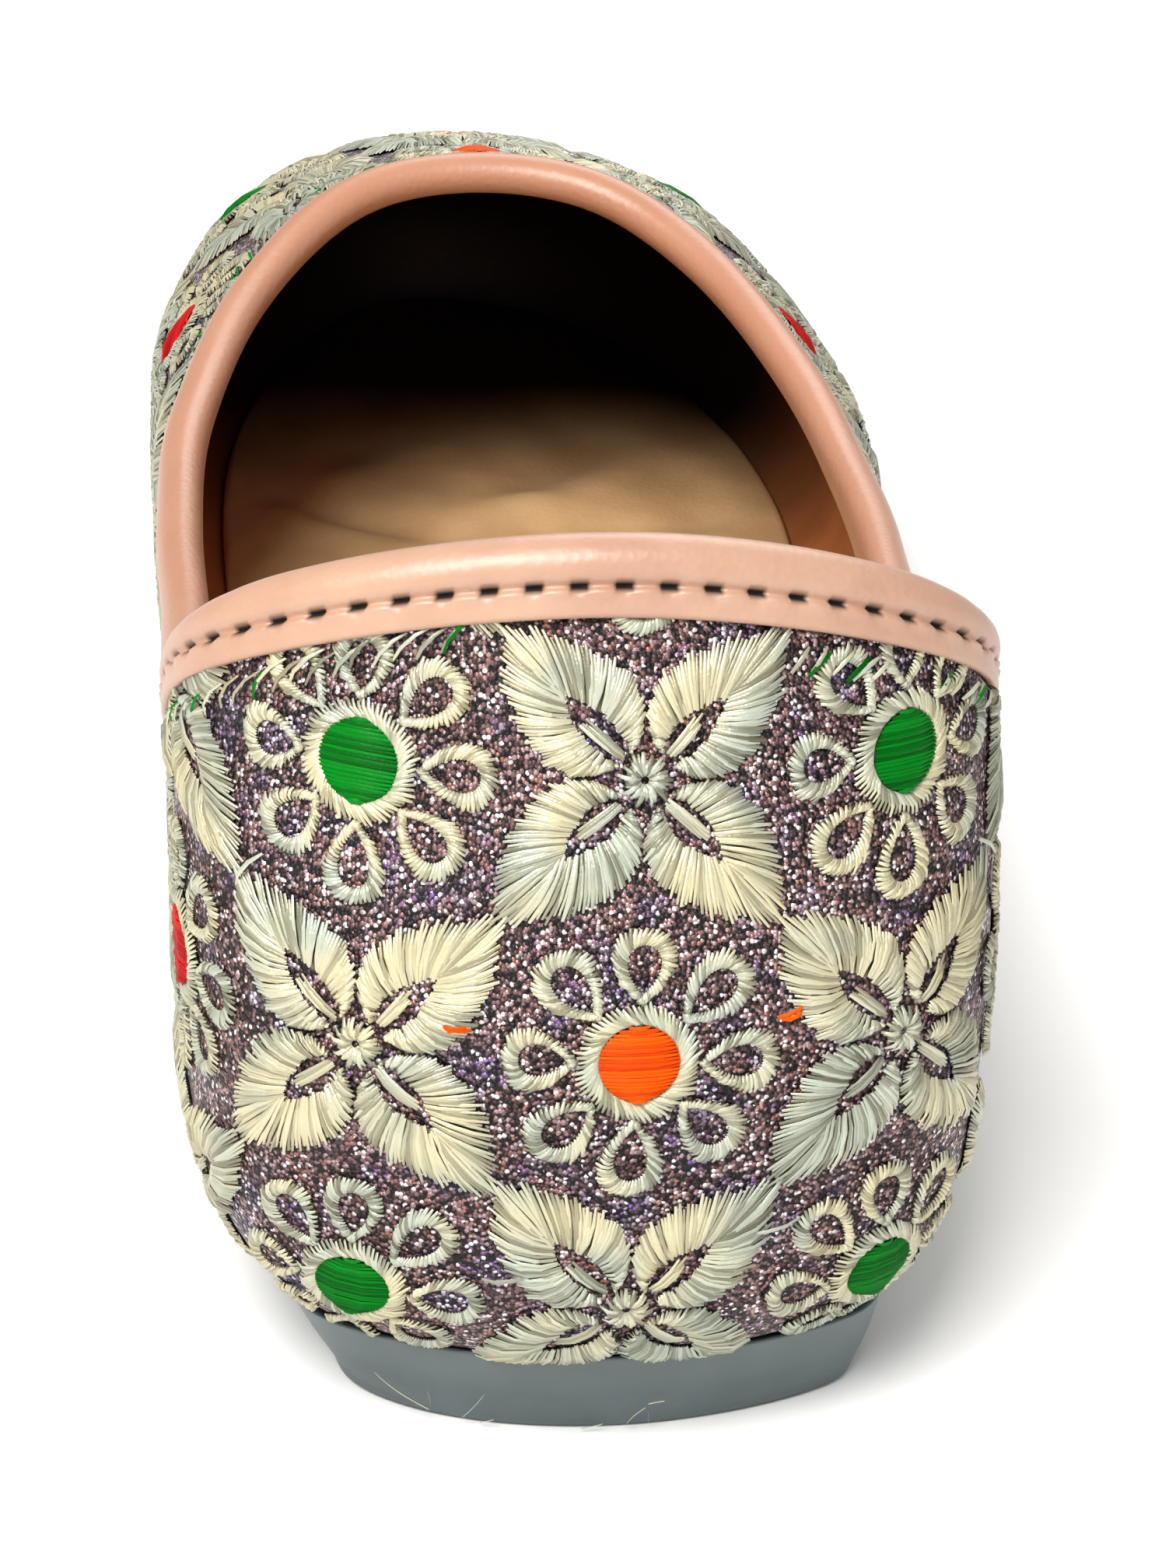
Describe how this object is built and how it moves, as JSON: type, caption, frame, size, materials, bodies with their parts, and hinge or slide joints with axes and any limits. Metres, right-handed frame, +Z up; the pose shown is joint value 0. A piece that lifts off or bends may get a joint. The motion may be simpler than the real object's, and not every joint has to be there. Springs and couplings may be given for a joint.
{
  "type": "mojari shoe",
  "caption": "Flat slip-on mojari: hollow embroidered upper, open at collar and throat with a leather binding round the edge, over a padded insole and a thin sole with a low heel",
  "frame": {"origin": "on the ground under the middle of the shoe's length and width", "axes": "+Y points to the toe, +X to the little-toe side of a right foot, +Z up from the ground"},
  "size_m": [0.0812, 0.2502, 0.0764],
  "materials": {
    "embroidered_fabric": "dark mauve-brown glitter fabric under dense champagne thread embroidery with green, orange and red centres",
    "peach_leather": "smooth peach leather with a soft gloss, rolled over the edge and stitched",
    "tan_leather": "matt beige-tan lining leather, soft and padded",
    "grey_rubber": "smooth moulded grey-green sole with a slight gloss"
  },
  "bodies": {
    "root": {"outsole": "grey_rubber", "upper": "embroidered_fabric", "insole": "tan_leather", "topline_binding": "peach_leather"}
  },
  "joints": []
}
